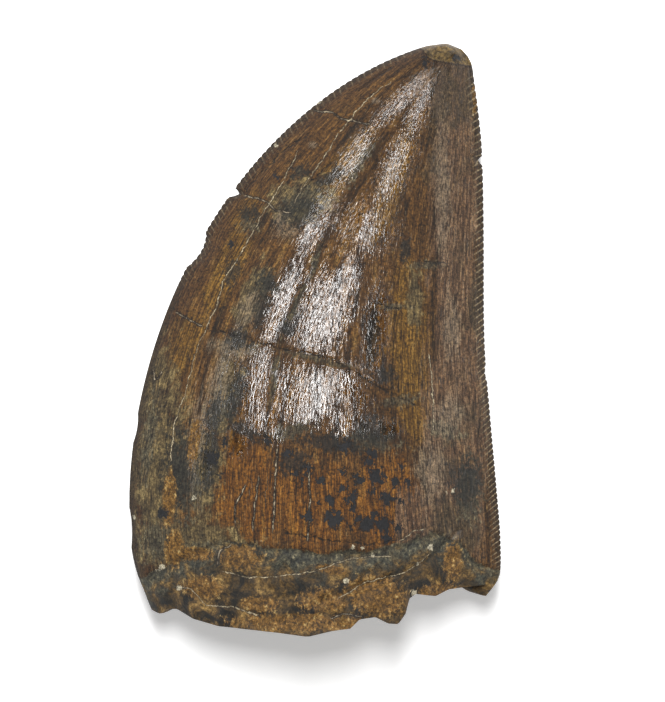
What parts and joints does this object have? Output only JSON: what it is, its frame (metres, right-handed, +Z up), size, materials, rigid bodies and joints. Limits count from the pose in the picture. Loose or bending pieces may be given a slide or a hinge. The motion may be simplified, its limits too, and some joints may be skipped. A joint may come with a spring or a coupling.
{
  "type": "fossil theropod tooth crown",
  "caption": "Fossil tooth crown of a large meat-eating dinosaur, with serrated edges, a worn tip and a broken root end, lying on its side.",
  "frame": {"origin": "middle of the object's box, on the surface that the tooth lies on", "axes": "+Y from the broken root end to the tip, +X from the bowed front (mesial) edge to the straighter back (distal) edge, +Z up, away from the surface"},
  "size_m": [0.0408, 0.065, 0.017],
  "materials": {
    "fossil_enamel": "glossy brown fossil enamel over matt dentine at the broken end"
  },
  "bodies": {
    "root": {"tooth": "fossil_enamel"}
  },
  "joints": []
}
